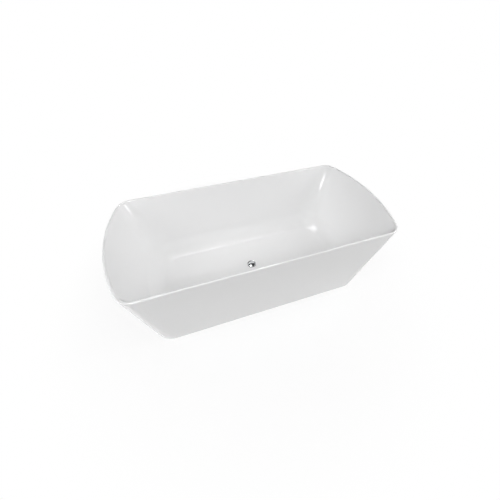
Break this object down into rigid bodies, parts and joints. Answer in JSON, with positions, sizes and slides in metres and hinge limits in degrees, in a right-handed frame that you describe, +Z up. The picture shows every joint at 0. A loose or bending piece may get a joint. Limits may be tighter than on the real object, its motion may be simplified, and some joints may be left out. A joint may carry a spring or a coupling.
{
  "type": "freestanding bathtub",
  "caption": "White double-shell freestanding bathtub with sloped sides, bowed ends, thin flat rim, central push-plug waste and levelling feet.",
  "frame": {"origin": "on the floor under the middle of the tub", "axes": "+X along the length, +Y towards the back long side, +Z up"},
  "size_m": [1.6996, 0.8, 0.6],
  "materials": {
    "acrylic_white": "high gloss sanitary acrylic",
    "plywood": "sealed",
    "batten_wood": "sealed",
    "zinc_steel": "zinc plated",
    "painted_steel": "powder coated",
    "chrome": "polished",
    "rubber_black": "matte",
    "plastic_grey": "moulded",
    "plastic_white": "moulded",
    "brass": "turned"
  },
  "bodies": {
    "tub": {"basin": "acrylic_white", "skirt": "acrylic_white", "floor_board": "plywood", "rail_front": "painted_steel", "rail_back": "painted_steel", "crossbar_left": "painted_steel", "crossbar_right": "painted_steel", "batten_front": "batten_wood", "batten_back": "batten_wood", "angle_brackets": "zinc_steel", "bracket_screws": "zinc_steel", "board_screws": "zinc_steel", "frame_bolts": "zinc_steel", "frame_nuts": "zinc_steel", "foot_bar_nuts": "zinc_steel", "foot_lock_nuts": "zinc_steel", "waste_flange": "chrome", "waste_seal": "rubber_black", "waste_washer": "rubber_black", "waste_back_nut": "plastic_grey", "cartridge_housing": "brass", "cartridge_cap": "brass", "plug_spring": "zinc_steel", "tail_washer": "rubber_black", "tail_pipe": "plastic_white", "union_nut": "plastic_white"},
    "plug": {"plug_cap": "chrome", "plug_seal": "rubber_black", "plug_stem": "brass"},
    "foot_front_left": {"foot_pad_front_left": "plastic_grey"},
    "bolt_front_left": {"foot_bolt_front_left": "zinc_steel"},
    "foot_front_right": {"foot_pad_front_right": "plastic_grey"},
    "bolt_front_right": {"foot_bolt_front_right": "zinc_steel"},
    "foot_back_left": {"foot_pad_back_left": "plastic_grey"},
    "bolt_back_left": {"foot_bolt_back_left": "zinc_steel"},
    "foot_back_right": {"foot_pad_back_right": "plastic_grey"},
    "bolt_back_right": {"foot_bolt_back_right": "zinc_steel"}
  },
  "joints": [
    {"name": "plug_lift", "type": "slide", "parent": "tub", "child": "plug", "axis": [0, 0, 1], "range_m": [0, 0.01], "deforming": ["plug_spring"]},
    {"name": "foot_front_left_height", "type": "slide", "parent": "tub", "child": "foot_front_left", "axis": [0, 0, 1], "range_m": [-0.015, 0.005]},
    {"name": "bolt_front_left_turn", "type": "hinge", "parent": "foot_front_left", "child": "bolt_front_left", "pos_m": [-0.43, -0.225, 0.012], "axis": [0, 0, 1], "range_deg": [-3096, 1039]},
    {"name": "foot_front_right_height", "type": "slide", "parent": "tub", "child": "foot_front_right", "axis": [0, 0, 1], "range_m": [-0.015, 0.005]},
    {"name": "bolt_front_right_turn", "type": "hinge", "parent": "foot_front_right", "child": "bolt_front_right", "pos_m": [0.43, -0.225, 0.012], "axis": [0, 0, 1], "range_deg": [-3096, 1039]},
    {"name": "foot_back_left_height", "type": "slide", "parent": "tub", "child": "foot_back_left", "axis": [0, 0, 1], "range_m": [-0.015, 0.005]},
    {"name": "bolt_back_left_turn", "type": "hinge", "parent": "foot_back_left", "child": "bolt_back_left", "pos_m": [-0.43, 0.225, 0.012], "axis": [0, 0, 1], "range_deg": [-3096, 1039]},
    {"name": "foot_back_right_height", "type": "slide", "parent": "tub", "child": "foot_back_right", "axis": [0, 0, 1], "range_m": [-0.015, 0.005]},
    {"name": "bolt_back_right_turn", "type": "hinge", "parent": "foot_back_right", "child": "bolt_back_right", "pos_m": [0.43, 0.225, 0.012], "axis": [0, 0, 1], "range_deg": [-3096, 1039]}
  ],
  "couplings": [
    {"joint": "bolt_front_left_turn", "follows": "foot_front_left_height", "rad_per_m": 3590.4},
    {"joint": "bolt_front_right_turn", "follows": "foot_front_right_height", "rad_per_m": 3590.4},
    {"joint": "bolt_back_left_turn", "follows": "foot_back_left_height", "rad_per_m": 3590.4},
    {"joint": "bolt_back_right_turn", "follows": "foot_back_right_height", "rad_per_m": 3590.4}
  ]
}
